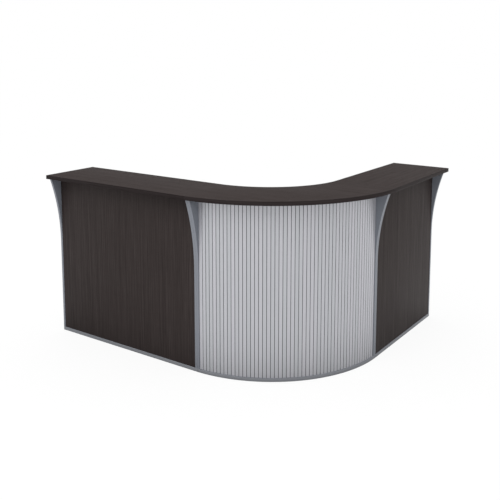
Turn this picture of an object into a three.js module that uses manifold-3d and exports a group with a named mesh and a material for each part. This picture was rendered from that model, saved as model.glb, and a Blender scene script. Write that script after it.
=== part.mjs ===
// Corner reception counter: a left wing, a quarter-round corner with a slatted front and a right wing.
// Each of the three modules is a carcass of its own, bolted to the next through its supports.
// Millimetres, +Z up. The left wing's front faces -Y and the right wing's front faces +X. The origin
// lies on the floor under the middle of the counter's box.
import * as THREE from 'three';
import { mergeVertices } from 'three/addons/utils/BufferGeometryUtils.js';
import Module from 'manifold-3d';

// Overall sizes
const counterHeight = 1100;
const cornerRadius = 806; // front edge of the base boards, round the corner's upright axis
const leftWingLength = 1168; // from the corner's tangent line to the left end
const rightWingLength = 890;
const supportDepth = 300; // base front to the supports' back edges

// Boards
const topThickness = 25;
const boardThickness = 16; // supports, front panels, shelves, rails and formers
const baseThickness = 22;
const topFrontOverhang = 108;
const topBackOverhang = 7;
const innerCurveEase = 28; // how far the inner curve's axis lies back from the corner's own axis
const panelRecess = 2; // front panels, behind the base front
const shelfHeight = 734; // floor to a shelf's underside
const shelfSetback = 10; // shelves and rails, in from the supports' back edges
const railHeight = 80;

// Supports' forward-leaning heads
const flareReach = 79;
const flareHeight = 442;

// Slatted corner panel
const slatCount = 51;
const slatRecess = 5; // slat faces, behind the base front
const slatThickness = 9;
const slatGrooveWidth = 4;
const slatGrooveDepth = 4;
const formerWidth = 70;

// Angle brackets under the counter boards
const bracketLeg = 40;
const bracketThickness = 2.5;
const bracketWidth = 30;

// Bolts that join the modules
const boltRadius = 4;
const boltHeadRadius = 9;
const boltHeadHeight = 2.5;
const boltEndDistance = 180; // above the base, below the shelf and below the counter

// Levelling feet
const footPadRadius = 15;
const footPadHeight = 5;
const footStemRadius = 4;
const footTravel = 12;
const footFloorClearance = 0.5; // foot screwed right in
const footSideInset = 45; // from the supports' inner faces
const footFrontInset = 40; // from the back of a front panel or former
const footBackInset = 45; // from the base's back edge
const bushingRadius = 7;
const bushingFlangeRadius = 12;
const bushingFlangeHeight = 2;
const footEdge = 1; // chamfers on a foot's pad and stem

// Fits
const jointGap = 0.3; // between boards that meet
const runningGap = 0.3; // round a bolt, a bushing and a foot's stem
const padGap = 1.5; // round a foot's pad in its counterbore

// Facets
const arcSteps = 24; // per curve of an outline, doubled by the extruder on round arcs
const roundSteps = 16; // round small turned pieces
const flareSteps = 8;
const weldDistance = 1e-4;

// Heights and lines that several pieces share, measured from the floor and from the corner's axis
const supportBottom = baseThickness + jointGap;
const topUnderside = counterHeight - topThickness;
const supportTop = topUnderside - jointGap;
const supportBackLine = cornerRadius - supportDepth;
const topFrontLine = cornerRadius + topFrontOverhang;
const topBackLine = supportBackLine - topBackOverhang;
const panelFrontLine = cornerRadius - panelRecess;
const panelBackLine = panelFrontLine - boardThickness;
const slatFrontRadius = cornerRadius - slatRecess;
const slatBackRadius = slatFrontRadius - slatThickness;
const formerRadius = slatBackRadius - jointGap;
const shelfBackLine = supportBackLine + shelfSetback;
const shelfTop = shelfHeight + boardThickness;
const moduleSeam = boardThickness; // wing meets corner this far past the tangent line
const cornerInnerFace = moduleSeam + boardThickness; // clear face of a corner support

const material = {
  wengeBoard: new THREE.MeshStandardMaterial({ color: 0x453d3b, roughness: 0.55, metalness: 0 }),
  greyBoard: new THREE.MeshStandardMaterial({ color: 0x93969d, roughness: 0.5, metalness: 0.1 }),
  silverSlat: new THREE.MeshStandardMaterial({ color: 0xb6b7bc, roughness: 0.4, metalness: 0.35 }),
  steel: new THREE.MeshStandardMaterial({ color: 0xa9abae, roughness: 0.35, metalness: 0.9 }),
  blackPlastic: new THREE.MeshStandardMaterial({ color: 0x242527, roughness: 0.6, metalness: 0 }),
};

const wasm = await Module();
wasm.setup();

function toSolid(geometry) {
  const bare = geometry.clone();
  bare.deleteAttribute('normal');
  bare.deleteAttribute('uv');
  const welded = mergeVertices(bare, weldDistance);
  return new wasm.Manifold(new wasm.Mesh({
    numProp: 3,
    vertProperties: new Float32Array(welded.attributes.position.array),
    triVerts: new Uint32Array(welded.index.array),
  }));
}

function toGeometry(solid) {
  const { vertProperties, triVerts } = solid.getMesh();
  const geometry = new THREE.BufferGeometry();
  geometry.setAttribute('position', new THREE.BufferAttribute(new Float32Array(vertProperties), 3));
  geometry.setIndex(new THREE.BufferAttribute(new Uint32Array(triVerts), 1));
  return geometry;
}

function boxBetween([x0, x1], [y0, y1], [z0, z1]) {
  const geometry = new THREE.BoxGeometry(x1 - x0, y1 - y0, z1 - z0);
  return geometry.translate((x0 + x1) / 2, (y0 + y1) / 2, (z0 + z1) / 2);
}

// A turned piece from a profile of [radius, height] points, standing on its axis along +Z
function turned(profile) {
  const points = profile.map(([radius, height]) => new THREE.Vector2(radius, height));
  return new THREE.LatheGeometry(points, roundSteps).rotateX(Math.PI / 2);
}

function addMesh(parent, name, geometry, finish) {
  const mesh = new THREE.Mesh(geometry, finish);
  mesh.name = name;
  parent.add(mesh);
  return mesh;
}

// The whole desk is drawn about the corner's axis and then moved to its origin. Each wing has a group
// whose -Y is that wing's front, so the right wing's group is the left one's turned by a quarter.
const desk = new THREE.Group();
const axisGroup = new THREE.Group();
const leftGroup = new THREE.Group();
const rightGroup = new THREE.Group();
rightGroup.rotation.z = Math.PI / 2;
axisGroup.position.set((leftWingLength - topFrontLine) / 2, (topFrontLine - rightWingLength) / 2, 0);
axisGroup.add(leftGroup, rightGroup);
desk.add(axisGroup);

// Plan of a board that follows the counter from end to end, between a front and a back line
function counterPlan(frontLine, backLine) {
  const plan = new THREE.Shape();
  plan.moveTo(-leftWingLength, -frontLine);
  plan.lineTo(0, -frontLine);
  plan.absarc(0, 0, frontLine, -Math.PI / 2, 0, false);
  plan.lineTo(frontLine, rightWingLength);
  plan.lineTo(backLine, rightWingLength);
  plan.lineTo(backLine, innerCurveEase);
  plan.absarc(-innerCurveEase, innerCurveEase, backLine + innerCurveEase, 0, -Math.PI / 2, true);
  plan.lineTo(-leftWingLength, -backLine);
  plan.closePath();
  return plan;
}

function slab(plan, bottom, thickness) {
  const geometry = new THREE.ExtrudeGeometry(plan, {
    depth: thickness, bevelEnabled: false, curveSegments: arcSteps,
  });
  return toSolid(geometry.translate(0, 0, bottom));
}

// What lies on each module's side of the two seams, with a margin beyond every board
const reach = leftWingLength + rightWingLength + topFrontLine;
const seamGap = jointGap / 2;
const moduleRegion = {
  left: toSolid(boxBetween([-reach, moduleSeam - seamGap], [-reach, 0], [-reach, reach])),
  corner: toSolid(boxBetween([moduleSeam + seamGap, reach], [-reach, -moduleSeam - seamGap], [-reach, reach])),
  right: toSolid(boxBetween([0, reach], [-moduleSeam + seamGap, reach], [-reach, reach])),
};

// What lies between the corner's two supports
const cornerBay = toSolid(boxBetween(
  [cornerInnerFace + jointGap, reach],
  [-reach, -cornerInnerFace - jointGap],
  [-reach, reach],
));

// Levelling feet of each module, as plan points in the group that each is drawn in
const footFrontLine = {
  wing: panelBackLine - footFrontInset,
  corner: formerRadius - formerWidth - footFrontInset,
};
const footBackLine = supportBackLine + footBackInset;
const leftFootX = [-leftWingLength + boardThickness + footSideInset, -footSideInset];
const rightFootX = [footSideInset, rightWingLength - boardThickness - footSideInset];
const cornerFootX = cornerInnerFace + footSideInset;

function footPlaces(parent, xs, frontLine) {
  return xs.flatMap((x) => [frontLine, footBackLine].map((line) => ({ parent, x, y: -line })));
}

const moduleFeet = {
  left: footPlaces(leftGroup, leftFootX, footFrontLine.wing),
  corner: [
    ...footPlaces(leftGroup, [cornerFootX], footFrontLine.corner),
    ...footPlaces(rightGroup, [-cornerFootX], footFrontLine.corner),
  ],
  right: footPlaces(rightGroup, rightFootX, footFrontLine.wing),
};

// A foot's hole: a counterbore for its pad below and a bore for its bushing above
const padRecess = footFloorClearance + footPadHeight + jointGap;
const footHole = toSolid(turned([
  [0, -padRecess],
  [footPadRadius + padGap, -padRecess],
  [footPadRadius + padGap, padRecess],
  [bushingRadius + runningGap, padRecess],
  [bushingRadius + runningGap, baseThickness + padRecess],
  [0, baseThickness + padRecess],
]));

function footHoleAt({ parent, x, y }) {
  const turn = parent.rotation.z;
  const place = new THREE.Vector3(x, y, 0).applyAxisAngle(new THREE.Vector3(0, 0, 1), turn);
  return footHole.translate([place.x, place.y, 0]);
}

// Base boards and counter boards: one outline each, cut at the seams
const basePlan = slab(counterPlan(cornerRadius, supportBackLine), 0, baseThickness);
const topPlan = slab(counterPlan(topFrontLine, topBackLine), topUnderside, topThickness);
for (const side of ['left', 'corner', 'right']) {
  let base = basePlan.intersect(moduleRegion[side]);
  for (const foot of moduleFeet[side]) {
    base = base.subtract(footHoleAt(foot));
  }
  addMesh(axisGroup, `base_${side}`, toGeometry(base), material.greyBoard);
  addMesh(axisGroup, `counter_top_${side}`, toGeometry(topPlan.intersect(moduleRegion[side])), material.wengeBoard);
}

// Supports: a board's outline seen from its side, straight behind and below, with a head that leans
// forward in an arc which starts upright. Bolt holes are only in those that stand in pairs.
const boltHeights = [
  baseThickness + boltEndDistance,
  shelfHeight - boltEndDistance,
  topUnderside - boltEndDistance,
];
const boltSetback = supportDepth / 2;

function supportOutline(bolted) {
  const flareRadius = (flareReach ** 2 + flareHeight ** 2) / (2 * flareReach);
  const flareAngle = Math.asin(flareHeight / flareRadius);
  const outline = new THREE.Shape();
  outline.moveTo(-supportDepth, supportBottom);
  outline.lineTo(0, supportBottom);
  outline.lineTo(0, supportTop - flareHeight);
  outline.absarc(flareRadius, supportTop - flareHeight, flareRadius, Math.PI, Math.PI - flareAngle, true);
  outline.lineTo(-supportDepth, supportTop);
  outline.closePath();
  for (const height of bolted ? boltHeights : []) {
    const hole = new THREE.Path();
    hole.absarc(-boltSetback, height, boltRadius + runningGap, 0, 2 * Math.PI, true);
    outline.holes.push(hole);
  }
  return outline;
}

// In a wing's group a side view's axes lie forward, up and to the left
const sideView = new THREE.Matrix4().makeBasis(
  new THREE.Vector3(0, -1, 0),
  new THREE.Vector3(0, 0, 1),
  new THREE.Vector3(-1, 0, 0),
);

function addSupport(parent, name, [x0, x1], bolted) {
  const geometry = new THREE.ExtrudeGeometry(supportOutline(bolted), {
    depth: x1 - x0, bevelEnabled: false, curveSegments: flareSteps,
  });
  const mesh = addMesh(parent, name, geometry, material.greyBoard);
  mesh.setRotationFromMatrix(sideView);
  mesh.position.set(x1, -cornerRadius, 0);
}

addSupport(leftGroup, 'left_end_support', [-leftWingLength, -leftWingLength + boardThickness], false);
addSupport(leftGroup, 'left_wing_inner_support', [moduleSeam - boardThickness, moduleSeam - seamGap], true);
addSupport(leftGroup, 'corner_left_support', [moduleSeam + seamGap, cornerInnerFace], true);
addSupport(rightGroup, 'corner_right_support', [-cornerInnerFace, -moduleSeam - seamGap], true);
addSupport(rightGroup, 'right_wing_inner_support', [-moduleSeam + seamGap, boardThickness - moduleSeam], true);
addSupport(rightGroup, 'right_end_support', [rightWingLength - boardThickness, rightWingLength], false);

// Front panel, shelf and rail of a wing, between the clear faces of its two supports
function addWingBoards(parent, side, [x0, x1]) {
  const width = [x0 + jointGap, x1 - jointGap];
  addMesh(parent, `front_panel_${side}`, boxBetween(
    width,
    [-panelFrontLine, -panelBackLine],
    [supportBottom, supportTop],
  ), material.wengeBoard);
  addMesh(parent, `shelf_${side}`, boxBetween(
    width,
    [-panelBackLine + jointGap, -shelfBackLine],
    [shelfHeight, shelfTop],
  ), material.greyBoard);
  addMesh(parent, `rail_${side}`, boxBetween(
    width,
    [-shelfBackLine - boardThickness, -shelfBackLine],
    [supportTop - railHeight, supportTop],
  ), material.greyBoard);
}

addWingBoards(leftGroup, 'left', [-leftWingLength + boardThickness, moduleSeam - boardThickness]);
addWingBoards(rightGroup, 'right', [boardThickness - moduleSeam, rightWingLength - boardThickness]);

// Slatted corner panel: flat slats side by side round the corner's axis, parted by square grooves that
// leave a thin continuous back. Its ends stand just clear of the two corner supports.
function slattedPlan() {
  const startAngle = -Math.acos((cornerInnerFace + jointGap) / slatBackRadius);
  const endAngle = -Math.PI / 2 - startAngle;
  const slatAngle = (endAngle - startAngle) / slatCount;
  const grooveHalfAngle = slatGrooveWidth / slatFrontRadius / 2;
  const grooveRadius = slatFrontRadius - slatGrooveDepth;
  const at = (radius, angle) => new THREE.Vector2(radius * Math.cos(angle), radius * Math.sin(angle));
  const front = [at(slatFrontRadius, startAngle)];
  const back = [at(slatBackRadius, startAngle)];
  for (let slat = 1; slat < slatCount; slat += 1) {
    const groove = startAngle + slat * slatAngle;
    front.push(at(slatFrontRadius, groove - grooveHalfAngle));
    front.push(at(grooveRadius, groove - grooveHalfAngle));
    front.push(at(grooveRadius, groove + grooveHalfAngle));
    front.push(at(slatFrontRadius, groove + grooveHalfAngle));
    back.push(at(slatBackRadius, groove));
  }
  front.push(at(slatFrontRadius, endAngle));
  back.push(at(slatBackRadius, endAngle));
  return new THREE.Shape([...front, ...back.reverse()]);
}

addMesh(axisGroup, 'slatted_corner_panel', new THREE.ExtrudeGeometry(slattedPlan(), {
  depth: supportTop - supportBottom, bevelEnabled: false,
}).translate(0, 0, supportBottom), material.silverSlat);

// Curved formers that carry the slatted panel at its foot and head, and the corner shelf between them
function ringPlan(outerRadius, innerRadius) {
  const plan = new THREE.Shape();
  plan.absarc(0, 0, outerRadius, -Math.PI / 2, 0, false);
  plan.absarc(0, 0, innerRadius, 0, -Math.PI / 2, true);
  plan.closePath();
  return plan;
}

const formerPlan = ringPlan(formerRadius, formerRadius - formerWidth);
const formerBottoms = { corner_former_bottom: supportBottom, corner_former_top: supportTop - boardThickness };
for (const [name, bottom] of Object.entries(formerBottoms)) {
  const former = slab(formerPlan, bottom, boardThickness).intersect(cornerBay);
  addMesh(axisGroup, name, toGeometry(former), material.greyBoard);
}
const cornerShelf = slab(counterPlan(formerRadius, shelfBackLine), shelfHeight, boardThickness);
addMesh(axisGroup, 'shelf_corner', toGeometry(cornerShelf.intersect(cornerBay)), material.greyBoard);

// Angle brackets: one leg on a support's clear face, the other under its counter board
function bracketOutline() {
  const outline = new THREE.Shape();
  outline.moveTo(0, 0);
  outline.lineTo(0, -bracketLeg);
  outline.lineTo(bracketThickness, -bracketLeg);
  outline.lineTo(bracketThickness, -bracketThickness);
  outline.lineTo(bracketLeg, -bracketThickness);
  outline.lineTo(bracketLeg, 0);
  outline.closePath();
  return outline;
}

function addBracket(parent, name, faceX, direction) {
  const geometry = new THREE.ExtrudeGeometry(bracketOutline(), { depth: bracketWidth, bevelEnabled: false });
  const mesh = addMesh(parent, name, geometry.translate(0, 0, -bracketWidth / 2), material.steel);
  mesh.setRotationFromMatrix(new THREE.Matrix4().makeBasis(
    new THREE.Vector3(direction, 0, 0),
    new THREE.Vector3(0, 0, 1),
    new THREE.Vector3(0, -direction, 0),
  ));
  mesh.position.set(faceX + direction * jointGap, -cornerRadius + boltSetback, supportTop);
}

addBracket(leftGroup, 'bracket_left_end', -leftWingLength + boardThickness, 1);
addBracket(leftGroup, 'bracket_left_inner', moduleSeam - boardThickness, -1);
addBracket(leftGroup, 'bracket_corner_left', cornerInnerFace, 1);
addBracket(rightGroup, 'bracket_corner_right', -cornerInnerFace, -1);
addBracket(rightGroup, 'bracket_right_inner', boardThickness - moduleSeam, 1);
addBracket(rightGroup, 'bracket_right_end', rightWingLength - boardThickness, -1);

// Joint bolts: a shank through both supports of a pair, with a flat head on each clear face
const boltGrip = 2 * boardThickness + 2 * jointGap;
const boltLength = boltGrip + 2 * boltHeadHeight;

function addBolts(parent, side, seamX) {
  boltHeights.forEach((height, index) => {
    const geometry = turned([
      [0, 0],
      [boltHeadRadius, 0],
      [boltHeadRadius, boltHeadHeight],
      [boltRadius, boltHeadHeight],
      [boltRadius, boltHeadHeight + boltGrip],
      [boltHeadRadius, boltHeadHeight + boltGrip],
      [boltHeadRadius, boltLength],
      [0, boltLength],
    ]);
    const mesh = addMesh(parent, `joint_bolt_${side}_${index + 1}`, geometry, material.steel);
    mesh.rotation.y = Math.PI / 2;
    mesh.position.set(seamX - boltLength / 2, -cornerRadius + boltSetback, height);
  });
}

addBolts(leftGroup, 'left', moduleSeam);
addBolts(rightGroup, 'right', -moduleSeam);

// Levelling feet, screwed right in, and the flanged bushings that they turn in
const footStemTop = baseThickness + footTravel + bushingFlangeHeight;

function footGeometry() {
  const padTop = footFloorClearance + footPadHeight;
  return turned([
    [0, footFloorClearance],
    [footPadRadius - footEdge, footFloorClearance],
    [footPadRadius, footFloorClearance + footEdge],
    [footPadRadius, padTop],
    [footStemRadius, padTop],
    [footStemRadius, footStemTop - footEdge],
    [footStemRadius - footEdge, footStemTop],
    [0, footStemTop],
  ]);
}

function bushingGeometry() {
  const bore = footStemRadius + runningGap;
  const flangeBottom = baseThickness + jointGap;
  const flangeTop = flangeBottom + bushingFlangeHeight;
  return turned([
    [bore, padRecess],
    [bushingRadius, padRecess],
    [bushingRadius, flangeBottom],
    [bushingFlangeRadius, flangeBottom],
    [bushingFlangeRadius, flangeTop],
    [bore, flangeTop],
    [bore, padRecess],
  ]);
}

for (const [side, feet] of Object.entries(moduleFeet)) {
  feet.forEach(({ parent, x, y }, index) => {
    addMesh(parent, `foot_${side}_${index + 1}`, footGeometry(), material.blackPlastic).position.set(x, y, 0);
    addMesh(parent, `foot_bushing_${side}_${index + 1}`, bushingGeometry(), material.steel).position.set(x, y, 0);
  });
}

export default desk;
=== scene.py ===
import math

import bmesh
import bpy
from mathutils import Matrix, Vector


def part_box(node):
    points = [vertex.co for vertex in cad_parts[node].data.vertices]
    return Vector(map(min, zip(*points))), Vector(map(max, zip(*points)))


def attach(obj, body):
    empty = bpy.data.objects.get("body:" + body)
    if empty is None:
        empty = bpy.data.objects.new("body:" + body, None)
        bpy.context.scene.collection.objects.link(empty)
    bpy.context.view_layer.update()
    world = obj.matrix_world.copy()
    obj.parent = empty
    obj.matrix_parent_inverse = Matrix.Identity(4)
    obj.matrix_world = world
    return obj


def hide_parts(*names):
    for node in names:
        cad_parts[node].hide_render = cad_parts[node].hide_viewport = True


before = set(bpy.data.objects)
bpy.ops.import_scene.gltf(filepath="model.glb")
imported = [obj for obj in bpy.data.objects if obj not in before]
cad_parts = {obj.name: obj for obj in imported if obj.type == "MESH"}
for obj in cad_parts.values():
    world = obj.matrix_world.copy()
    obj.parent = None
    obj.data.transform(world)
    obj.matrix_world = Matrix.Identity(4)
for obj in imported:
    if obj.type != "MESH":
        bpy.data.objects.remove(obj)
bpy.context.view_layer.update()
mm = 0.001
weldDistance = 0.01 * mm
seamTolerance = 0.1 * mm
flatAngle = math.radians(0.2)  # faces that differ by less become one
cornerAngle = math.radians(30)  # board edges sharper than this are eased
creaseAngle = math.radians(50)  # edges blunter than this shade smoothly
squareOn = 0.9  # a face looks along an axis if its normal has this share of it
edgeSteps = 3  # faces in an eased edge
ringSteps = 24  # points around a turned piece

# The corner's upright axis: the tangent lines of the two wings cross on it
cornerAxis = Vector((
    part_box("left_wing_inner_support")[0].x,
    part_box("right_wing_inner_support")[1].y,
    0,
))

# Camera at the photograph's place, looking a little down, its frame shifted down as well
cameraView = {
    "place": (2.8628, -4.1307, 1.9678),
    "turn": 34.980,  # degrees to the left of +Y
    "tilt": -7.7589,  # degrees below the horizon
    "lens": 53.9165,
    "sensor": 36,
    "shift": (0.00083, -0.2102),
}
cameraData = bpy.data.cameras.new("photoCamera")
cameraData.lens = cameraView["lens"]
cameraData.sensor_width = cameraView["sensor"]
cameraData.shift_x, cameraData.shift_y = cameraView["shift"]
photoCamera = bpy.data.objects.new("photoCamera", cameraData)
photoCamera.location = cameraView["place"]
photoCamera.rotation_euler = (
    math.radians(90 + cameraView["tilt"]), 0, math.radians(cameraView["turn"]))
bpy.context.scene.collection.objects.link(photoCamera)
bpy.context.scene.camera = photoCamera
bpy.context.scene.view_settings.view_transform = "Standard"
print("camera set")


def paint(red, green, blue):
    # a colour as it is seen on screen, 0 to 255, as the linear colour that nodes take
    def linear(value):
        share = value / 255
        return share / 12.92 if share <= 0.04045 else ((share + 0.055) / 1.055) ** 2.4
    return (linear(red), linear(green), linear(blue), 1.0)


def pickSocket(sockets, key):
    if isinstance(key, int):
        return sockets[key]
    return next(s for s in sockets if s.name == key and s.enabled)


class Wire:
    # one socket of a node tree: sums on it add Math nodes, node() adds any other node
    def __init__(self, tree, socket=None):
        self.tree = tree
        self.socket = socket

    def node(self, kind, settings=None, sockets=None, out=0):
        made = self.tree.nodes.new(kind)
        for name, value in (settings or {}).items():
            if name == "stops":
                first, *between, last = value
                made.color_ramp.elements[0].position, made.color_ramp.elements[0].color = first
                made.color_ramp.elements[1].position, made.color_ramp.elements[1].color = last
                for place, colour in between:
                    made.color_ramp.elements.new(place).color = colour
            else:
                setattr(made, name, value)
        for key, value in (sockets or {}).items():
            for one in value if isinstance(value, list) else [value]:
                if isinstance(one, Wire):
                    self.tree.links.new(one.socket, pickSocket(made.inputs, key))
                else:
                    pickSocket(made.inputs, key).default_value = one
        return Wire(self.tree, pickSocket(made.outputs, out)) if len(made.outputs) else None

    def beside(self, key):
        # another output of the same node
        return Wire(self.tree, pickSocket(self.socket.node.outputs, key))

    def math(self, operation, first, second=0.0):
        return self.node("ShaderNodeMath", {"operation": operation}, {0: first, 1: second})

    def __add__(self, other):
        return self.math("ADD", self, other)

    __radd__ = __add__

    def __sub__(self, other):
        return self.math("SUBTRACT", self, other)

    def __rsub__(self, other):
        return self.math("SUBTRACT", other, self)

    def __mul__(self, other):
        return self.math("MULTIPLY", self, other)

    __rmul__ = __mul__

    def __truediv__(self, other):
        return self.math("DIVIDE", self, other)

    def __rtruediv__(self, other):
        return self.math("DIVIDE", other, self)

    def clamp(self):
        return self.node("ShaderNodeClamp", {}, {"Value": self})


def newMaterial(name):
    material = bpy.data.materials.new(name)
    material.use_nodes = True
    material.node_tree.nodes.clear()
    return material, Wire(material.node_tree)


def finishMaterial(wire, principled):
    surface = wire.node("ShaderNodeBsdfPrincipled", {}, principled)
    wire.node("ShaderNodeOutputMaterial", {}, {"Surface": surface})


def grainSpace(wire, direction, stretch):
    # Object coordinates drawn out along the grain; "round" follows the corner about its axis
    place = wire.node("ShaderNodeTexCoord", {}, {}, "Object")
    scale = {
        "x": (1 / stretch, 1, 1), "y": (1, 1 / stretch, 1), "z": (1, 1, 1 / stretch),
        "round": (1 / stretch, 1, 1), "none": (1, 1, 1),
    }[direction]
    if direction == "round":
        fromAxis = wire.node("ShaderNodeMapping", {}, {"Vector": place, "Location": -cornerAxis})
        split = wire.node("ShaderNodeSeparateXYZ", {}, {"Vector": fromAxis})
        radius = wire.node("ShaderNodeVectorMath", {"operation": "LENGTH"}, {0: fromAxis}, "Value")
        turn = wire.math("ARCTAN2", split.beside("Y"), split)
        place = wire.node("ShaderNodeCombineXYZ", {}, {"X": turn, "Y": radius, "Z": split.beside("Z")})
    return wire.node("ShaderNodeMapping", {}, {"Vector": place, "Scale": scale})


def noise(wire, space, perMetre, detail=2.0, roughness=0.5):
    return wire.node("ShaderNodeTexNoise", {}, {
        "Vector": space, "Scale": perMetre, "Detail": detail, "Roughness": roughness})


def contrast(wire, value, low, high):
    # 0 at low and 1 at high, held between
    return wire.node("ShaderNodeMapRange", {}, {"Value": value, "From Min": low, "From Max": high})


def blendColour(wire, share, first, second):
    return wire.node(
        "ShaderNodeMix", {"data_type": "RGBA"}, {"Factor": share, "A": first, "B": second}, "Result")


def bump(wire, height, strength, depth):
    return wire.node("ShaderNodeBump", {}, {"Height": height, "Strength": strength, "Distance": depth})


# Wenge decor: long dark and paler streaks with short pores, pressed a little into the foil
wenge = {
    # the counter tones are lighter than the panel tones of the same decor: painted light for the light
    # the tops catch
    "counter": (paint(57, 51, 49), paint(64, 58, 57), paint(72, 65, 64)),
    "panel": (paint(40, 34, 33), paint(51, 44, 43), paint(62, 55, 54)),
    "edge": (paint(37, 31, 31), paint(44, 38, 38), paint(51, 45, 45)),
    # a darker copy of the edge tones, for edging that looks along Y such as the left wing's front:
    # painted shade
    "edgeShadedAlongX": (paint(33, 27, 27), paint(39, 33, 33), paint(46, 40, 40)),
    "pore": paint(31, 26, 25),
    "toneStops": (0.39, 0.5, 0.63),  # where the three tones stand in the range of the grain
    "longStretch": 250, "shortStretch": 120,
    "bandsPerMetre": 26, "streaksPerMetre": 240, "threadsPerMetre": 480, "poresPerMetre": 1500,
    "bandShare": 0.08, "streakShare": 0.44, "threadShare": 0.48,
    "poreRange": (0.62, 0.72), "poreShare": 0.7,
    "roughness": 0.55, "grainRoughness": 0.45, "poreRoughness": 0.1,
    "relief": 0.08 * mm, "reliefStrength": 0.5,
    "threadRise": 0.5, "streakRise": 0.3, "poreDrop": 0.8,
    "counterSheen": 0.003, "panelSheen": 0.10, "edgeSheen": 0.06,
}


def wengeDecor(name, direction, tones, sheen):
    material, wire = newMaterial(name)
    longSpace = grainSpace(wire, direction, wenge["longStretch"])
    shortSpace = grainSpace(wire, direction, wenge["shortStretch"])
    bands = noise(wire, longSpace, wenge["bandsPerMetre"])
    streaks = noise(wire, longSpace, wenge["streaksPerMetre"], detail=3.0, roughness=0.6)
    threads = noise(wire, shortSpace, wenge["threadsPerMetre"], roughness=0.6)
    tone = bands * wenge["bandShare"] + streaks * wenge["streakShare"] + threads * wenge["threadShare"]
    dots = noise(wire, shortSpace, wenge["poresPerMetre"], detail=1.0)
    pores = contrast(wire, dots, *wenge["poreRange"])
    wood = wire.node("ShaderNodeValToRGB", {
        "stops": list(zip(wenge["toneStops"], tones))}, {"Fac": tone}, "Color")
    matt = (0.5 - tone) * wenge["grainRoughness"] + pores * wenge["poreRoughness"]
    height = threads * wenge["threadRise"] + streaks * wenge["streakRise"] - pores * wenge["poreDrop"]
    finishMaterial(wire, {
        "Base Color": blendColour(wire, pores * wenge["poreShare"], wood, wenge["pore"]),
        "Roughness": matt + wenge["roughness"],
        "Specular IOR Level": sheen,
        "Normal": bump(wire, height, wenge["reliefStrength"], wenge["relief"]),
    })
    return material


# Grey melamine: an even blue-grey with a fine pearl fleck and a faint cloud; its faces are drawn
# darker and its edging paler, partly paler banding and partly painted shade on the faces and painted
# light on the edging
greyMelamine = {
    "face": (paint(114, 119, 127), paint(120, 123, 131), paint(136, 141, 149)),
    "edge": (paint(124, 128, 136), paint(129, 132, 140), paint(143, 148, 156)),
    # the base edging is paler still: painted light against the shade near the floor
    "base": (paint(136, 138, 144), paint(141, 143, 148), paint(155, 158, 164)),
    "cloudsPerMetre": 7, "flecksPerMetre": 2200, "peelPerMetre": 900,
    "fleckRange": (0.55, 0.75), "fleckShare": 0.25,
    "roughness": 0.44, "cloudRoughness": 0.08, "fleckGloss": 0.06,
    "relief": 0.03 * mm, "reliefStrength": 0.4,
    "faceSheen": 0.2, "edgeSheen": 0.35,
}


def greyBoardFinish(name, tones, sheen):
    material, wire = newMaterial(name)
    cool, warm, fleck = tones
    space = grainSpace(wire, "none", 1)
    clouds = noise(wire, space, greyMelamine["cloudsPerMetre"], detail=3.0)
    dots = noise(wire, space, greyMelamine["flecksPerMetre"], detail=1.0)
    flecks = contrast(wire, dots, *greyMelamine["fleckRange"])
    peel = noise(wire, space, greyMelamine["peelPerMetre"])
    ground = blendColour(wire, clouds, cool, warm)
    matt = clouds * greyMelamine["cloudRoughness"] - flecks * greyMelamine["fleckGloss"]
    finishMaterial(wire, {
        "Base Color": blendColour(wire, flecks * greyMelamine["fleckShare"], ground, fleck),
        "Roughness": matt + greyMelamine["roughness"],
        "Specular IOR Level": sheen,
        "Normal": bump(wire, peel, greyMelamine["reliefStrength"], greyMelamine["relief"]),
    })
    return material


# Silver slat foil: fine upright brushing, each slat a shade of its own
silverFoil = {
    "cool": paint(187, 189, 193), "lilac": paint(196, 195, 201), "line": paint(172, 174, 179),
    "stretch": 90, "brushPerMetre": 900, "bandsPerMetre": 160,
    "slatShare": 0.75, "bandShare": 0.25,  # of the tint, by slat and by streak
    "lineRange": (0.52, 0.75), "lineShare": 0.6,
    "roughness": 0.38, "brushRoughness": 0.16, "sheen": 0.05, "metal": 0.55,
    "relief": 0.02 * mm, "reliefStrength": 0.35,
}


def silverSlatFinish(name):
    material, wire = newMaterial(name)
    space = grainSpace(wire, "z", silverFoil["stretch"])
    brush = noise(wire, space, silverFoil["brushPerMetre"], roughness=0.6)
    bands = noise(wire, space, silverFoil["bandsPerMetre"])
    shade = wire.node("ShaderNodeAttribute", {"attribute_name": "slatShade"}, {}, "Fac")
    tint = shade * silverFoil["slatShare"] + bands * silverFoil["bandShare"]
    ground = blendColour(wire, tint, silverFoil["cool"], silverFoil["lilac"])
    lines = contrast(wire, brush, *silverFoil["lineRange"])
    finishMaterial(wire, {
        "Base Color": blendColour(wire, lines * silverFoil["lineShare"], ground, silverFoil["line"]),
        "Roughness": brush * silverFoil["brushRoughness"] + silverFoil["roughness"],
        "Specular IOR Level": silverFoil["sheen"],
        "Metallic": silverFoil["metal"],
        "Normal": bump(wire, brush, silverFoil["reliefStrength"], silverFoil["relief"]),
    })
    return material


# Zinc-plated steel: dull bright metal with a faint bloom of grains
zincPlate = {
    "bright": paint(184, 186, 190), "dull": paint(150, 152, 157),
    "bloomPerMetre": 260, "grainPerMetre": 1600,
    "roughness": 0.3, "bloomRoughness": 0.2, "relief": 0.02 * mm, "reliefStrength": 0.3,
}


def zincFinish(name):
    material, wire = newMaterial(name)
    space = grainSpace(wire, "none", 1)
    bloom = noise(wire, space, zincPlate["bloomPerMetre"], detail=3.0, roughness=0.6)
    grain = noise(wire, space, zincPlate["grainPerMetre"])
    finishMaterial(wire, {
        "Base Color": blendColour(wire, bloom, zincPlate["dull"], zincPlate["bright"]),
        "Roughness": bloom * zincPlate["bloomRoughness"] + zincPlate["roughness"],
        "Metallic": 1.0,
        "Normal": bump(wire, grain, zincPlate["reliefStrength"], zincPlate["relief"]),
    })
    return material


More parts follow.
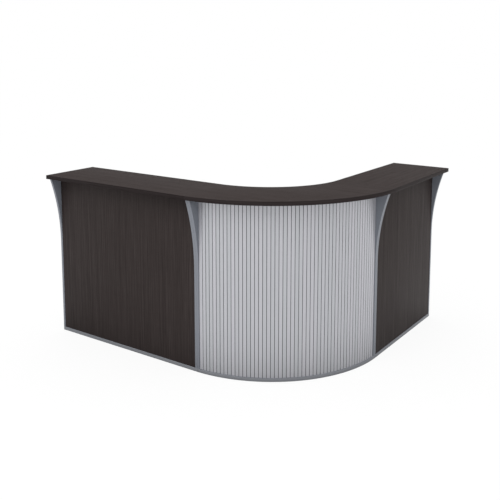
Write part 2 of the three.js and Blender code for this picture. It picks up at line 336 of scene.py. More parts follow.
# Moulded plastic: a fine spark-eroded skin
mouldedPlastic = {
    "black": (paint(29, 30, 32), paint(44, 45, 47)),
    "grey": (paint(120, 123, 129), paint(134, 136, 143)),
    # the slats' back sheet is drawn near black so the grooves read dark: painted shade in the grooves
    "backingGrooveShade": (paint(22, 24, 26), paint(32, 34, 38)),
    "skinPerMetre": 2400, "cloudsPerMetre": 90, "skinShare": 0.4, "cloudShare": 0.6,
    "roughness": 0.48, "skinRoughness": 0.14, "relief": 0.05 * mm, "reliefStrength": 0.5,
}


def plasticFinish(name, tones):
    material, wire = newMaterial(name)
    space = grainSpace(wire, "none", 1)
    skin = noise(wire, space, mouldedPlastic["skinPerMetre"])
    clouds = noise(wire, space, mouldedPlastic["cloudsPerMetre"])
    tint = clouds * mouldedPlastic["cloudShare"] + skin * mouldedPlastic["skinShare"]
    finishMaterial(wire, {
        "Base Color": blendColour(wire, tint, *tones),
        "Roughness": skin * mouldedPlastic["skinRoughness"] + mouldedPlastic["roughness"],
        "Normal": bump(wire, skin, mouldedPlastic["reliefStrength"], mouldedPlastic["relief"]),
    })
    return material


# the counters take the lighter tones of the decor: painted light on the tops
counterAlongX = wengeDecor("wenge_counter_left", "x", wenge["counter"], wenge["counterSheen"])
counterAlongY = wengeDecor("wenge_counter_right", "y", wenge["counter"], wenge["counterSheen"])
panelUpright = wengeDecor("wenge_front_panel", "z", wenge["panel"], wenge["panelSheen"])
# edging that looks along Y takes the darker copy of the edge tones: painted shade
edgingShadedAlongX = wengeDecor("wenge_edging_along_x", "x", wenge["edgeShadedAlongX"], wenge["edgeSheen"])
edgingAlongY = wengeDecor("wenge_edging_along_y", "y", wenge["edge"], wenge["edgeSheen"])
edgingRound = wengeDecor("wenge_edging_round", "round", wenge["edge"], wenge["edgeSheen"])
# faces darker and edging paler than the board's grey: partly painted shade and painted light
greyFaceShaded = greyBoardFinish("grey_melamine", greyMelamine["face"], greyMelamine["faceSheen"])
greyEdgingLit = greyBoardFinish("grey_edging", greyMelamine["edge"], greyMelamine["edgeSheen"])
# the base edging's paler tones are painted light near the floor
baseEdgingLit = greyBoardFinish("base_edging", greyMelamine["base"], greyMelamine["edgeSheen"])
silverSlat = silverSlatFinish("silver_slat_foil")
zinc = zincFinish("zinc_plate")
blackPlastic = plasticFinish("black_plastic", mouldedPlastic["black"])
greyPlastic = plasticFinish("grey_plastic", mouldedPlastic["grey"])
# the back sheet's near-black tones are painted shade in the grooves between the slats
slatBackingGrooveShade = plasticFinish("slat_backing", mouldedPlastic["backingGrooveShade"])
print("materials made")


def addObject(name, mesh):
    made = bpy.data.objects.new(name, mesh)
    bpy.context.scene.collection.objects.link(made)
    return made


def meshFrom(shape, name):
    mesh = bpy.data.meshes.new(name)
    shape.to_mesh(mesh)
    shape.free()
    return mesh


def freeze(made):
    # the evaluated mesh becomes the object's own, and its modifiers go
    bpy.context.view_layer.update()
    solved = made.evaluated_get(bpy.context.evaluated_depsgraph_get())
    before = made.data
    made.data = bpy.data.meshes.new_from_object(solved)
    made.data.name = made.name
    made.modifiers.clear()
    bpy.data.meshes.remove(before)
    return made


def keep(piece, body, slotName, *nodes):
    # the piece rides the body and stands for the nodes
    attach(piece, body)
    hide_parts(*nodes)
    return piece


def mergedCopy(node):
    # a node's solid with its loose triangles joined into whole flat faces
    shape = bmesh.new()
    shape.from_mesh(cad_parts[node].data)
    bmesh.ops.remove_doubles(shape, verts=shape.verts, dist=weldDistance)
    bmesh.ops.dissolve_limit(shape, angle_limit=flatAngle, verts=shape.verts, edges=shape.edges)
    return shape


def buttSide(edge, box, butts):
    # true where an edge lies in a face that butts against the next board, such as "+x"
    for butt in butts:
        axis = "xyz".index(butt[1])
        face = box[1 if butt[0] == "+" else 0][axis]
        if all(abs(v.co[axis] - face) < seamTolerance for v in edge.verts):
            return True
    return False


def easedBoard(node, slotName, rounding, faceFinish, edgeFinishes, butts=()):
    # a board with its edging rounded; the second edge finish is for edges that face along X
    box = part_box(node)
    size = box[1] - box[0]
    thin = min(range(3), key=lambda axis: size[axis])
    shape = mergedCopy(node)
    weight = shape.edges.layers.float.new("bevel_weight_edge")
    for face in shape.faces:
        facesX = abs(face.normal.x) > abs(face.normal.y)
        face.smooth = True
        if abs(face.normal[thin]) > squareOn:
            face.material_index = 0
        else:
            face.material_index = 2 if facesX and len(edgeFinishes) == 2 else 1
    for edge in shape.edges:
        sharp = edge.calc_face_angle(0) > cornerAngle
        butted = sharp and buttSide(edge, box, butts)
        edge[weight] = 1.0 if sharp and not butted else 0.0
        edge.smooth = not butted
    mesh = meshFrom(shape, node)
    for finish in (faceFinish, *edgeFinishes):
        mesh.materials.append(finish)
    board = addObject(node + "_board", mesh)
    bevel = board.modifiers.new("eased", "BEVEL")
    bevel.limit_method = "WEIGHT"
    bevel.width = rounding
    bevel.segments = edgeSteps
    bevel.harden_normals = True
    bevel.material = 1
    return keep(freeze(board), "desk", slotName, node)


# Counter boards: thick edging, butted tight at the two module seams
counterBoards = {
    "rounding": 1.6 * mm,
    "finishes": {
        "counter_top_left": (counterAlongX, (edgingShadedAlongX, edgingAlongY), ("+x",)),
        "counter_top_corner": (counterAlongX, (edgingRound,), ("-x", "+y")),
        "counter_top_right": (counterAlongY, (edgingShadedAlongX, edgingAlongY), ("-y",)),
    },
}
for node, finishes in counterBoards["finishes"].items():
    easedBoard(node, "wenge", counterBoards["rounding"], *finishes)
print("counter boards made")

# Front panels of the two wings, grain upright
frontPanels = {"rounding": 0.6 * mm, "nodes": ("front_panel_left", "front_panel_right")}
for node in frontPanels["nodes"]:
    easedBoard(node, "wenge", frontPanels["rounding"], panelUpright, (panelUpright,))
print("front panels made")

# Grey carcass boards
carcass = {
    "rounding": 0.8 * mm,
    "supports": (
        "left_end_support", "left_wing_inner_support", "corner_left_support",
        "corner_right_support", "right_wing_inner_support", "right_end_support"),
    "shelves": ("shelf_left", "shelf_corner", "shelf_right"),
    "rails": ("rail_left", "rail_right"),
    "formers": ("corner_former_bottom", "corner_former_top"),
    "bases": {"base_left": ("+x",), "base_corner": ("-x", "+y"), "base_right": ("-y",)},
}
for node in carcass["supports"] + carcass["shelves"] + carcass["rails"] + carcass["formers"]:
    easedBoard(node, "grey_board", carcass["rounding"], greyFaceShaded, (greyEdgingLit,))
for node, butts in carcass["bases"].items():
    easedBoard(node, "grey_board", carcass["rounding"], greyFaceShaded, (baseEdgingLit,), butts)
print("carcass boards made")


def newTree(name, inputs):
    # a Geometry Nodes tree with named inputs, and a wire from each of them
    tree = bpy.data.node_groups.new(name, "GeometryNodeTree")
    tree.interface.new_socket("Geometry", in_out="INPUT", socket_type="NodeSocketGeometry")
    for label, kind in inputs.items():
        tree.interface.new_socket(label, in_out="INPUT", socket_type="NodeSocket" + kind)
    tree.interface.new_socket("Geometry", in_out="OUTPUT", socket_type="NodeSocketGeometry")
    source = tree.nodes.new("NodeGroupInput")
    return Wire(tree), {s.name: Wire(tree, s) for s in source.outputs if s.name}


def closeTree(wire, geometry, finish, chosen=None, chosenFinish=None):
    # the second finish goes on the chosen faces only
    dressed = wire.node("GeometryNodeSetMaterial", {}, {
        "Geometry": wire.node("GeometryNodeRealizeInstances", {}, {"Geometry": geometry}),
        "Material": finish})
    if chosen:
        dressed = wire.node("GeometryNodeSetMaterial", {}, {
            "Geometry": dressed, "Selection": chosen, "Material": chosenFinish})
    wire.node("NodeGroupOutput", {}, {"Geometry": dressed})
    return wire.tree


def compare(wire, operation, first, second):
    return wire.node("FunctionNodeCompare", {"data_type": "FLOAT", "operation": operation}, {
        "A": first, "B": second})


def shadeSmoothly(shape):
    # smooth faces, with a crease where two of them meet at a sharper angle
    for face in shape.faces:
        face.smooth = True
    for edge in shape.edges:
        edge.smooth = edge.calc_face_angle(0) < creaseAngle


def weighNormals(made):
    # broad faces stay flat to the eye and small roundings shade smoothly
    weighted = made.modifiers.new("flatFaces", "WEIGHTED_NORMAL")
    weighted.weight = 90
    weighted.keep_sharp = True
    return freeze(made)


def grow(name, tree, values, seedMesh=None):
    # runs a tree on a seed mesh and keeps the plain mesh that comes out, faces outward
    made = addObject(name, seedMesh or bpy.data.meshes.new(name))
    modifier = made.modifiers.new("grown", "NODES")
    modifier.node_group = tree
    for item in tree.interface.items_tree:
        if item.in_out == "INPUT" and item.name in values:
            modifier[item.identifier] = values[item.name]
    freeze(made)
    shape = bmesh.new()
    shape.from_mesh(made.data)
    bmesh.ops.remove_doubles(shape, verts=shape.verts, dist=weldDistance)
    bmesh.ops.recalc_face_normals(shape, faces=shape.faces)
    shadeSmoothly(shape)
    shape.to_mesh(made.data)
    shape.free()
    return weighNormals(made)


# Slatted corner panel: flat slats glued side by side on a bendable back sheet
panelLow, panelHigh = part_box("slatted_corner_panel")
slatPanel = {
    "slats": 51,
    "proud": 1.2 * mm,  # the slats stand this far out from the solid's
    "endExtra": 1.1 * mm,  # what the two end slats have beyond the pitch
    "backThickness": 8.8 * mm,
    "slatThickness": 1.4 * mm,
    "grooveWidth": 3.2 * mm,
    "glueLine": 0.06 * mm,
    "rounding": 0.5 * mm,
    "roundingSteps": 3,
    "backSteps": 154,
    "seed": 7,
}


def slatPanelTree():
    wire, given = newTree("slatPanel", {
        "Slat Count": "Int", "Front Radius": "Float", "Slat Thickness": "Float", "Slat Width": "Float",
        "Back Thickness": "Float", "Glue Line": "Float", "Height": "Float", "Centre": "Vector",
        "Start Angle": "Float", "Pitch": "Float", "End Margin": "Float", "Rounding": "Float",
        "Sheet Start": "Float", "Sheet Sweep": "Float", "Back Steps": "Int", "Seed": "Int",
        "Finish": "Material", "Back Finish": "Material",
    })
    # the first and the last slat reach the ends of the panel
    index = wire.node("GeometryNodeInputIndex")
    lastSlat = compare(wire, "GREATER_THAN", index, given["Slat Count"] - 1.5)
    firstSlat = compare(wire, "LESS_THAN", index, 0.5)
    nudge = (lastSlat - firstSlat) * given["End Margin"] * 0.5 / given["Front Radius"]
    widen = (lastSlat + firstSlat) * given["End Margin"] / given["Slat Width"] + 1
    turn = (index + 0.5) * given["Pitch"] + given["Start Angle"] + nudge
    slatRadius = given["Front Radius"] - given["Slat Thickness"] * 0.5
    place = wire.node("ShaderNodeCombineXYZ", {}, {
        "X": wire.math("COSINE", turn) * slatRadius, "Y": wire.math("SINE", turn) * slatRadius})
    points = wire.node("GeometryNodePoints", {}, {"Count": given["Slat Count"], "Position": place})
    shade = wire.node("FunctionNodeRandomValue", {"data_type": "FLOAT"}, {
        "Seed": given["Seed"]}, "Value")
    shaded = wire.node("GeometryNodeStoreNamedAttribute", {"data_type": "FLOAT", "domain": "POINT"}, {
        "Geometry": points, "Name": "slatShade", "Value": shade})
    section = wire.node("GeometryNodeCurvePrimitiveQuadrilateral", {"mode": "RECTANGLE"}, {
        "Width": given["Slat Thickness"], "Height": given["Slat Width"]})
    eased = wire.node("GeometryNodeFilletCurve", {"mode": "POLY"}, {
        "Curve": section, "Count": slatPanel["roundingSteps"], "Radius": given["Rounding"]})
    top = wire.node("ShaderNodeCombineXYZ", {}, {"Z": given["Height"]})
    upright = wire.node("GeometryNodeCurvePrimitiveLine", {"mode": "POINTS"}, {
        "Start": (0, 0, 0), "End": top})
    slat = wire.node("GeometryNodeCurveToMesh", {}, {
        "Curve": upright, "Profile Curve": eased, "Fill Caps": True})
    facing = wire.node("ShaderNodeCombineXYZ", {}, {"Z": turn})
    width = wire.node("ShaderNodeCombineXYZ", {}, {"X": 1.0, "Y": widen, "Z": 1.0})
    slats = wire.node("GeometryNodeInstanceOnPoints", {}, {
        "Points": shaded, "Instance": slat, "Rotation": facing, "Scale": width})
    sheetRadius = given["Front Radius"] - given["Slat Thickness"] - given["Glue Line"]
    arc = wire.node("GeometryNodeCurveArc", {"mode": "RADIUS"}, {
        "Resolution": given["Back Steps"], "Radius": sheetRadius - given["Back Thickness"] * 0.5,
        "Start Angle": given["Sheet Start"], "Sweep Angle": given["Sheet Sweep"]})
    sheetSection = wire.node("GeometryNodeCurvePrimitiveQuadrilateral", {"mode": "RECTANGLE"}, {
        "Width": given["Back Thickness"], "Height": given["Height"]})
    sheet = wire.node("GeometryNodeCurveToMesh", {}, {
        "Curve": arc, "Profile Curve": sheetSection, "Fill Caps": True})
    # a shade below 0 tells the sheet from the slats
    marked = wire.node("GeometryNodeStoreNamedAttribute", {"data_type": "FLOAT", "domain": "POINT"}, {
        "Geometry": sheet, "Name": "slatShade", "Value": -1.0})
    halfUp = wire.node("ShaderNodeCombineXYZ", {}, {"Z": given["Height"] * 0.5})
    raised = wire.node("GeometryNodeTransform", {}, {"Geometry": marked, "Translation": halfUp})
    both = wire.node("GeometryNodeJoinGeometry", {}, {"Geometry": [raised, slats]})
    placed = wire.node("GeometryNodeTransform", {}, {"Geometry": both, "Translation": given["Centre"]})
    mark = wire.node("GeometryNodeInputNamedAttribute", {"data_type": "FLOAT"}, {"Name": "slatShade"})
    onSheet = compare(wire, "LESS_THAN", mark, 0.0)
    return closeTree(wire, placed, given["Finish"], onSheet, given["Back Finish"])


slatFrontRadius = panelHigh.x - cornerAxis.x + slatPanel["proud"]
slatBackRadius = slatFrontRadius - slatPanel["slatThickness"] - slatPanel["backThickness"]
panelStart = -math.acos((panelLow.x - cornerAxis.x) / slatBackRadius)
slatStart = panelStart + slatPanel["endExtra"] / slatFrontRadius
slatPitch = (-math.pi / 2 - 2 * slatStart) / slatPanel["slats"]
slattedPanel = grow("slatted_corner_panel_slats", slatPanelTree(), {
    "Slat Count": slatPanel["slats"],
    "Front Radius": slatFrontRadius,
    "Slat Thickness": slatPanel["slatThickness"],
    "Slat Width": slatPitch * slatFrontRadius - slatPanel["grooveWidth"],
    "Back Thickness": slatPanel["backThickness"] - slatPanel["glueLine"],
    "Glue Line": slatPanel["glueLine"],
    "Height": panelHigh.z - panelLow.z,
    "Centre": cornerAxis + Vector((0, 0, panelLow.z)),
    "Start Angle": slatStart,
    "Pitch": slatPitch,
    "End Margin": slatPanel["grooveWidth"] / 2 + slatPanel["endExtra"],
    "Sheet Start": panelStart,
    "Sheet Sweep": -math.pi / 2 - 2 * panelStart,
    "Rounding": slatPanel["rounding"],
    "Back Steps": slatPanel["backSteps"],
    "Seed": slatPanel["seed"],
    "Finish": silverSlat,
    "Back Finish": slatBackingGrooveShade,
})
keep(slattedPanel, "desk", "silver_slat", "slatted_corner_panel")
print("slatted panel made:", len(slattedPanel.data.polygons), "faces")


crossArm = 0.3  # half the width of a cross slot's arms, as a share of its reach


def ringRadius(shape, radius, turn):
    # radius at an angle of a round, six-sided or cross-shaped ring
    if shape == "hex":
        sixth = math.pi / 3
        return radius * math.cos(sixth / 2) / math.cos(turn % sixth - sixth / 2)
    if shape == "cross":
        wide, narrow = sorted((abs(math.cos(turn)), abs(math.sin(turn))), reverse=True)
        return radius / max(wide, narrow / crossArm)
    return radius


def turnedMesh(name, rings, closed=False):
    # rings of (shape, radius, height) joined in turn; a closed row of rings makes a bushing
    shape = bmesh.new()
    rows = []
    for kind, radius, height in rings:
        row = []
        for step in range(ringSteps):
            turn = 2 * math.pi * step / ringSteps
            reach = ringRadius(kind, radius, turn)
            row.append(shape.verts.new((reach * math.cos(turn), reach * math.sin(turn), height)))
        rows.append(row)
    pairs = list(zip(rows, rows[1:] + rows[:1])) if closed else list(zip(rows, rows[1:]))
    for low, high in pairs:
        for step in range(ringSteps):
            after = (step + 1) % ringSteps
            shape.faces.new((low[step], low[after], high[after], high[step]))
    if not closed:
        shape.faces.new(rows[0][::-1])
        shape.faces.new(rows[-1])
    bmesh.ops.recalc_face_normals(shape, faces=shape.faces)
    return meshFrom(shape, name)


def hardwareTree():
    # a template on each seed point, its axis along the point's facing and turned at random about it
    wire, given = newTree("hardware", {"Template": "Object", "Seed": "Int", "Finish": "Material"})
    facing = wire.node("GeometryNodeInputNamedAttribute", {"data_type": "FLOAT_VECTOR"}, {
        "Name": "facing"})
    along = wire.node("FunctionNodeAlignRotationToVector", {"axis": "Z"}, {"Vector": facing})
    angle = wire.node("FunctionNodeRandomValue", {"data_type": "FLOAT"}, {
        "Max": 2 * math.pi, "Seed": given["Seed"]}, "Value")
    spin = wire.node("FunctionNodeAxisAngleToRotation", {}, {"Axis": (0, 0, 1), "Angle": angle})
    turned = wire.node("FunctionNodeRotateRotation", {"rotation_space": "LOCAL"}, {
        "Rotation": along, "Rotate By": spin})
    template = wire.node("GeometryNodeObjectInfo", {}, {"Object": given["Template"]}, "Geometry")
    placed = wire.node("GeometryNodeInstanceOnPoints", {}, {
        "Points": given["Geometry"], "Instance": template, "Rotation": turned})
    return closeTree(wire, placed, given["Finish"])


hardware = hardwareTree()


def scatter(name, templateMesh, places, finish, seed):
    # places are pairs of a point and the way that the template faces there
    seedMesh = bpy.data.meshes.new(name)
    seedMesh.from_pydata([point for point, way in places], [], [])
    ways = seedMesh.attributes.new("facing", "FLOAT_VECTOR", "POINT")
    for index, (point, way) in enumerate(places):
        ways.data[index].vector = way
    template = addObject(name + "_template", templateMesh)
    made = grow(name, hardware, {"Template": template, "Seed": seed, "Finish": finish}, seedMesh)
    bpy.data.objects.remove(template)
    return made


# Angle brackets: bent plate with a rounded bend and free corners, two screws in each leg
bracketPlates = {
    "nodes": (
        "bracket_left_end", "bracket_left_inner", "bracket_corner_left",
        "bracket_corner_right", "bracket_right_inner", "bracket_right_end"),
    "thickness": 2.5 * mm, "bendInside": 1.0 * mm, "cornerRadius": 5.0 * mm,
    "roundSteps": 5, "hollowSteps": 4,
    "screwFromBend": 27 * mm, "screwSpacing": 15 * mm,
    "headRadius": 4.0 * mm, "headHeight": 2.4 * mm,
    # the head's outline, in shares of its radius and height
    "headProfile": ((0.96, 0), (1, 0.12), (1, 0.4), (0.93, 0.7), (0.78, 0.92), (0.62, 1)),
    "crossRadius": 2.2 * mm, "crossDepth": 1.2 * mm, "crossTaper": 0.75,
    "seed": 3,
}


def roundEdges(shape, edges, radius, segments):
    bmesh.ops.bevel(
        shape, geom=edges, offset=radius, offset_type="OFFSET", segments=segments,
        profile=0.5, affect="EDGES")


def bentPlate(node):
    thickness = bracketPlates["thickness"]
    inside = bracketPlates["bendInside"]
    shape = mergedCopy(node)
    corners = [e for e in shape.edges if e.calc_length() < thickness + seamTolerance]
    roundEdges(shape, corners, bracketPlates["cornerRadius"], bracketPlates["roundSteps"])
    bend = max(shape.edges, key=lambda e: sum(f.calc_area() for f in e.link_faces))
    roundEdges(shape, [bend], inside + thickness, bracketPlates["roundSteps"])
    hollow = [e for e in shape.edges if e.calc_face_angle_signed(0) < -creaseAngle]
    roundEdges(shape, hollow, inside, bracketPlates["hollowSteps"])
    shadeSmoothly(shape)
    mesh = meshFrom(shape, node)
    mesh.materials.append(zinc)
    return keep(weighNormals(addObject(node + "_plate", mesh)), "desk", "steel", node)


def bracketScrews(node):
    # screw places on both legs: on the support's leg facing out, on the counter's leg facing down
    low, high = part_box(node)
    size = high - low
    middle = (low + high) / 2
    out = 0 if size.x > size.y else 1
    corners = [v.co[out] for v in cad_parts[node].data.vertices]
    sign = 1 if sum(corners) / len(corners) < middle[out] else -1
    support = low[out] if sign > 0 else high[out]
    places = []
    for side in (-0.5, 0.5):
        onSupport = middle.copy()
        onSupport[1 - out] += side * bracketPlates["screwSpacing"]
        onCounter = onSupport.copy()
        onSupport[out] = support + sign * bracketPlates["thickness"]
        onSupport.z = high.z - bracketPlates["screwFromBend"]
        onCounter[out] = support + sign * bracketPlates["screwFromBend"]
        onCounter.z = high.z - bracketPlates["thickness"]
        outward = Vector((0, 0, 0))
        outward[out] = sign
        places += [(onSupport, outward), (onCounter, Vector((0, 0, -1)))]
    return places


def panHead():
    radius, height = bracketPlates["headRadius"], bracketPlates["headHeight"]
    cross, depth = bracketPlates["crossRadius"], bracketPlates["crossDepth"]
    dome = [("round", radius * wide, height * tall) for wide, tall in bracketPlates["headProfile"]]
    slot = [("cross", cross, height), ("cross", cross * bracketPlates["crossTaper"], height - depth)]
    return turnedMesh("panHead", dome + slot)


for node in bracketPlates["nodes"]:
    bentPlate(node)
screwPlaces = [place for node in bracketPlates["nodes"] for place in bracketScrews(node)]
bracketScrewSet = scatter("bracket_screws", panHead(), screwPlaces, zinc, bracketPlates["seed"])
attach(bracketScrewSet, "desk")
print("brackets made with", len(screwPlaces), "screws")

# Joint bolts: a sleeve and a bolt, each with a flat head and a six-sided socket
jointBolts = {
    "nodes": [f"joint_bolt_{side}_{count}" for side in ("left", "right") for count in (1, 2, 3)],
    "shankRadius": 4.0 * mm, "headHeight": 2.5 * mm, "socketRadius": 3.4 * mm, "socketDepth": 1.6 * mm,
    "edge": 0.6 * mm, "headRounding": ((2, 0), (0.6, 0.4), (0, 1.4)),  # in and down, times the edge
    "seed": 5,
}


def boltMesh(radius, length):
    head, edge, shank = jointBolts["headHeight"], jointBolts["edge"], jointBolts["shankRadius"]
    socket, deep = jointBolts["socketRadius"], jointBolts["socketDepth"]
    top = length / 2
    rounded = [
        ("round", radius - edge * into, top - edge * down)
        for into, down in jointBolts["headRounding"]]
    half = [
        ("hex", socket, top - deep), ("hex", socket, top), *rounded,
        ("round", radius, top - head), ("round", shank, top - head)]
    other = [(kind, reach, -height) for kind, reach, height in reversed(half)]
    return turnedMesh("jointBolt", half + other)


boltPlaces = []
for node in jointBolts["nodes"]:
    low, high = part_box(node)
    size = high - low
    lengthwise = max(range(3), key=lambda axis: size[axis])
    way = Vector((0, 0, 0))
    way[lengthwise] = 1
    boltPlaces.append(((low + high) / 2, way))
boltTemplate = boltMesh(min(size) / 2, max(size))
joinedBolts = scatter("joint_bolts", boltTemplate, boltPlaces, zinc, jointBolts["seed"])
keep(joinedBolts, "desk", "steel", *jointBolts["nodes"])
print("joint bolts made:", len(boltPlaces))

# Levelling feet: a fluted pad on a threaded stem, each on its own body, in flanged bushings
footNames = [f"{side}_{count}" for side in ("left", "corner", "right") for count in (1, 2, 3, 4)]
levellingFeet = {
    "padHeight": 5.0 * mm, "padRings": 6, "padEdge": 0.07, "rimPower": 6.0,
    "flutes": 18, "pointsPerFlute": 4, "fluteDepth": 0.05,  # edge and depths are shares of a radius
    "stemRadius": 4.0 * mm, "stemSides": 16, "stemSink": 0.5 * mm,
    "threadPitch": 1.25 * mm, "ringsPerTurn": 6, "threadDepth": 0.14,
}


def levellingFootTree():
    wire, given = newTree("levellingFoot", {
        "Pad Radius": "Float", "Pad Height": "Float", "Pad Edge": "Float", "Flutes": "Int",
        "Flute Depth": "Float", "Stem Radius": "Float", "Stem Length": "Float", "Stem Segments": "Int",
        "Stem Sink": "Float", "Thread Pitch": "Float", "Thread Depth": "Float", "Foot": "Vector",
        "Pad Finish": "Material", "Stem Finish": "Material",
    })
    split = wire.node("ShaderNodeSeparateXYZ", {}, {"Vector": wire.node("GeometryNodeInputPosition")})
    height = split.beside("Z")
    turn = wire.math("ARCTAN2", split.beside("Y"), split)

    def reshaped(geometry, share):
        # every point's distance from the axis times a share
        moved = wire.node("ShaderNodeCombineXYZ", {}, {
            "X": split * share, "Y": split.beside("Y") * share, "Z": height})
        return wire.node("GeometryNodeSetPosition", {}, {"Geometry": geometry, "Position": moved})

    pad = wire.node("GeometryNodeMeshCylinder", {"fill_type": "NGON"}, {
        "Vertices": given["Flutes"] * levellingFeet["pointsPerFlute"],
        "Side Segments": levellingFeet["padRings"],
        "Radius": given["Pad Radius"], "Depth": given["Pad Height"]}, "Mesh")
    fromMiddle = wire.math("ABSOLUTE", height) / given["Pad Height"] * 2.0
    rim = wire.math("POWER", fromMiddle, levellingFeet["rimPower"])
    flute = wire.math("COSINE", turn * given["Flutes"]) * 0.5 + 0.5
    rounded = reshaped(pad, 1 - rim * given["Pad Edge"] - flute * given["Flute Depth"])
    stem = wire.node("GeometryNodeMeshCylinder", {"fill_type": "NGON"}, {
        "Vertices": levellingFeet["stemSides"], "Side Segments": given["Stem Segments"],
        "Radius": given["Stem Radius"], "Depth": given["Stem Length"]}, "Mesh")
    wave = wire.math("PINGPONG", height / given["Thread Pitch"] - turn / (2 * math.pi), 0.5) * 2.0
    threaded = reshaped(stem, 1 - wave * given["Thread Depth"])
    lift = wire.node("ShaderNodeCombineXYZ", {}, {
        "Z": (given["Pad Height"] + given["Stem Length"]) * 0.5 - given["Stem Sink"]})
    raised = wire.node("GeometryNodeTransform", {}, {"Geometry": threaded, "Translation": lift})
    both = wire.node("GeometryNodeJoinGeometry", {}, {"Geometry": [rounded, raised]})
    middle = wire.node("ShaderNodeCombineXYZ", {}, {"Z": given["Pad Height"] * 0.5})
    standing = wire.node("GeometryNodeTransform", {}, {"Geometry": both, "Translation": middle})
    placed = wire.node("GeometryNodeTransform", {}, {
        "Geometry": standing, "Translation": given["Foot"]})
    footHeight = wire.node("ShaderNodeSeparateXYZ", {}, {"Vector": given["Foot"]}).beside("Z")
    onStem = compare(wire, "GREATER_THAN", height, footHeight + given["Pad Height"] + weldDistance)
    return closeTree(wire, placed, given["Pad Finish"], onStem, given["Stem Finish"])


footTree = levellingFootTree()
for footName in footNames:
    low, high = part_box("foot_" + footName)
    middle = (low + high) / 2
    stemLength = high.z - low.z - levellingFeet["padHeight"] + levellingFeet["stemSink"]
    threadTurns = stemLength / levellingFeet["threadPitch"]
    levellingFoot = grow("foot_" + footName + "_screw", footTree, {
        "Pad Radius": (high.x - low.x) / 2,
        "Pad Height": levellingFeet["padHeight"],
        "Pad Edge": levellingFeet["padEdge"],
        "Flutes": levellingFeet["flutes"],
        "Flute Depth": levellingFeet["fluteDepth"],
        "Stem Radius": levellingFeet["stemRadius"],
        "Stem Length": stemLength,
        "Stem Segments": round(threadTurns * levellingFeet["ringsPerTurn"]),
        "Stem Sink": levellingFeet["stemSink"],
        "Thread Pitch": levellingFeet["threadPitch"],
        "Thread Depth": levellingFeet["threadDepth"],
        "Foot": Vector((middle.x, middle.y, low.z)),
        "Pad Finish": blackPlastic,
        "Stem Finish": zinc,
    })
    keep(levellingFoot, "levelling_foot_" + footName, "foot", "foot_" + footName)
print("levelling feet made:", len(footNames))

# Flanged bushings in the base boards
footBushings = {
    "nodes": ["foot_bushing_" + footName for footName in footNames],
    "bore": 4.3 * mm, "barrelRadius": 7.0 * mm, "flangeHeight": 2.0 * mm, "edge": 0.4 * mm,
    "seed": 11,
}


def bushingMesh(flangeRadius, length):
    bore, barrel, edge = footBushings["bore"], footBushings["barrelRadius"], footBushings["edge"]
    half = length / 2
    under = half - footBushings["flangeHeight"]
    outline = (
        (bore, -half), (barrel - edge, -half), (barrel, -half + edge), (barrel, under),
        (flangeRadius, under), (flangeRadius, half - edge), (flangeRadius - edge, half),
        (bore + edge, half), (bore, half - edge))
    return turnedMesh("bushing", [("round", reach, height) for reach, height in outline], closed=True)


bushingPlaces = []
for node in footBushings["nodes"]:
    low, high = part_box(node)
    bushingPlaces.append(((low + high) / 2, Vector((0, 0, 1))))
bushingTemplate = bushingMesh((high.x - low.x) / 2, high.z - low.z)
bushingSet = scatter("foot_bushings", bushingTemplate, bushingPlaces, zinc, footBushings["seed"])
keep(bushingSet, "desk", "steel", *footBushings["nodes"])
print("bushings made:", len(bushingPlaces))

# Cover caps over the cam fittings, on faces that only the staff side shows
camCaps = {
    "radius": 8.5 * mm, "height": 1.1 * mm, "seat": 0.05 * mm, "fromEnd": 34 * mm,
    "profile": ((1, 0), (1, 0.4), (0.95, 0.85), (0.86, 1)),  # shares of the radius and the height
    "cross": ((0.32, 1), (0.26, 0.45)),
    "panelHeights": (0.12, 0.56, 0.96), "shelfFromSides": 0.25, "seed": 13,
}


def capMesh():
    radius, height = camCaps["radius"], camCaps["height"]
    disc = [("round", radius * wide, height * tall) for wide, tall in camCaps["profile"]]
    slot = [("cross", radius * wide, height * tall) for wide, tall in camCaps["cross"]]
    return turnedMesh("camCap", disc + slot)


def boardEnds(node, along):
    low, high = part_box(node)
    return low[along] + camCaps["fromEnd"], high[along] - camCaps["fromEnd"]


capPlaces = []
for side, along in (("left", 0), ("right", 1)):
    across = 1 - along
    staffWay = Vector((0, 0, 0))
    staffWay[across] = 1 if side == "left" else -1
    for node, heights in (("front_panel_" + side, camCaps["panelHeights"]), ("rail_" + side, None)):
        low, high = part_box(node)
        way = staffWay if heights else -staffWay
        face = high if way[across] > 0 else low
        for end in boardEnds(node, along):
            for height in heights or [(low.z + high.z) / 2]:
                point = Vector((0, 0, height))
                point[along] = end
                point[across] = face[across] + way[across] * camCaps["seat"]
                capPlaces.append((point, way))
    low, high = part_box("shelf_" + side)
    inset = (high[across] - low[across]) * camCaps["shelfFromSides"]
    for end in boardEnds("shelf_" + side, along):
        for line in (low[across] + inset, high[across] - inset):
            point = Vector((0, 0, low.z - camCaps["seat"]))
            point[along] = end
            point[across] = line
            capPlaces.append((point, Vector((0, 0, -1))))
camCapSet = scatter("cam_fitting_caps", capMesh(), capPlaces, greyPlastic, camCaps["seed"])
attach(camCapSet, "desk")
print("cover caps made:", len(capPlaces))

# Studio: an even sky, a broad soft light high in front and a weaker one off the right wing
studio = {
    "sky": 1.0,
    "frontLight": {"place": (0.6, -3.6, 4.2), "size": 3.0, "watts": 50},
    "rightLight": {"place": (3.8, 4.2, 2.6), "size": 3.0, "watts": 14},
    "aim": (0, -0.1, 0.6),
    "floorGlow": 0.88,  # what the camera sees without any light
    "floorSeen": 0.12,  # and what light and shadow add to it
    "bounce": {"near": 0.1, "far": 0.8, "start": 0.15, "end": 0.6},  # start and end in metres
    "mirrored": {"near": 0.45, "far": 1.0, "start": 0.15, "end": 0.6},
    "shadeInset": 0.25,  # how far inside the wing ends that line stops
    "floorSize": 120,
}


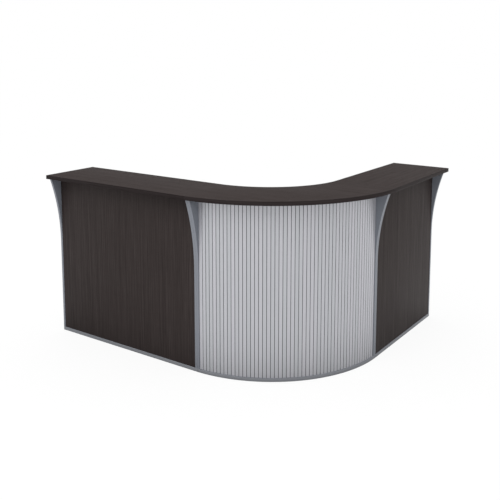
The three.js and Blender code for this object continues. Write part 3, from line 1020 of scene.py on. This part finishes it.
def evenGrey(level):
    return (level, level, level, 1)


def seenRay(wire, *others):
    # 1 for rays that the camera sends out, and for the other kinds that are named
    path = wire.node("ShaderNodeLightPath", {}, {}, "Is Camera Ray")
    seen = path
    for kind in others:
        seen = seen + path.beside(kind)
    return seen.clamp()


def contactShade(wire, near, far, start, end):
    # what the floor gives back to the desk: little close to its middle line, most further off
    place = wire.node("ShaderNodeTexCoord", {}, {}, "Object")
    split = wire.node("ShaderNodeSeparateXYZ", {}, {"Vector": place})
    right = wire.math("MAXIMUM", split - cornerAxis.x, 0.0)
    front = wire.math("MAXIMUM", cornerAxis.y - split.beside("Y"), 0.0)
    radius = wire.math("SQRT", right * right + front * front)
    baseLow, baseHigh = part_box("base_left")
    aside = radius - (cornerAxis.y - (baseLow.y + baseHigh.y) / 2)
    leftEnd = baseLow.x + studio["shadeInset"]
    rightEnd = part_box("base_right")[1].y - studio["shadeInset"]
    pastLeft = wire.math("MAXIMUM", leftEnd - split, 0.0)
    pastRight = wire.math("MAXIMUM", split.beside("Y") - rightEnd, 0.0)
    past = pastLeft + pastRight
    away = wire.math("SQRT", aside * aside + past * past)
    return blendColour(wire, contrast(wire, away, start, end), evenGrey(near), evenGrey(far))


def areaLight(name, place, size, watts):
    data = bpy.data.lights.new(name, "AREA")
    data.shape = "DISK"
    data.size = size
    data.energy = watts
    lamp = addObject(name, data)
    lamp.location = place
    lamp.rotation_euler = (Vector(studio["aim"]) - Vector(place)).to_track_quat("-Z", "Y").to_euler()


areaLight("frontLight", **studio["frontLight"])
areaLight("rightLight", **studio["rightLight"])

world = bpy.data.worlds.new("studioSky")
bpy.context.scene.world = world
world.use_nodes = True
world.node_tree.nodes.clear()
skyWire = Wire(world.node_tree)
skyLight = skyWire.node("ShaderNodeBackground", {}, {"Color": evenGrey(1), "Strength": studio["sky"]})
skySeen = skyWire.node("ShaderNodeBackground", {}, {"Color": evenGrey(1), "Strength": 1.0})
skyRays = seenRay(skyWire, "Is Glossy Ray", "Is Transmission Ray")
skyMix = skyWire.node("ShaderNodeMixShader", {}, {0: skyRays, 1: skyLight, 2: skySeen})
skyWire.node("ShaderNodeOutputWorld", {}, {"Surface": skyMix})

floorMaterial, floorWire = newMaterial("studio_floor")
bounce = floorWire.node("ShaderNodeBsdfDiffuse", {}, {
    "Color": contactShade(floorWire, **studio["bounce"])})
mirrored = floorWire.node("ShaderNodeEmission", {}, {
    "Color": contactShade(floorWire, **studio["mirrored"]), "Strength": 1.0})
mirrorRays = floorWire.node("ShaderNodeLightPath", {}, {}, "Is Glossy Ray")
returned = floorWire.node("ShaderNodeMixShader", {}, {0: mirrorRays, 1: bounce, 2: mirrored})
shadowed = floorWire.node("ShaderNodeBsdfDiffuse", {}, {"Color": evenGrey(studio["floorSeen"])})
glow = floorWire.node("ShaderNodeEmission", {}, {
    "Color": evenGrey(1), "Strength": studio["floorGlow"]})
pale = floorWire.node("ShaderNodeAddShader", {}, {0: shadowed, 1: glow})
floorRays = seenRay(floorWire, "Is Transmission Ray")
floorMix = floorWire.node("ShaderNodeMixShader", {}, {0: floorRays, 1: returned, 2: pale})
floorWire.node("ShaderNodeOutputMaterial", {}, {"Surface": floorMix})
half = studio["floorSize"] / 2
floorMesh = bpy.data.meshes.new("studio_floor")
floorMesh.from_pydata(
    [(-half, -half, 0), (half, -half, 0), (half, half, 0), (-half, half, 0)], [], [(0, 1, 2, 3)])
floorMesh.materials.append(floorMaterial)
addObject("studio_floor", floorMesh)
print("studio lit")
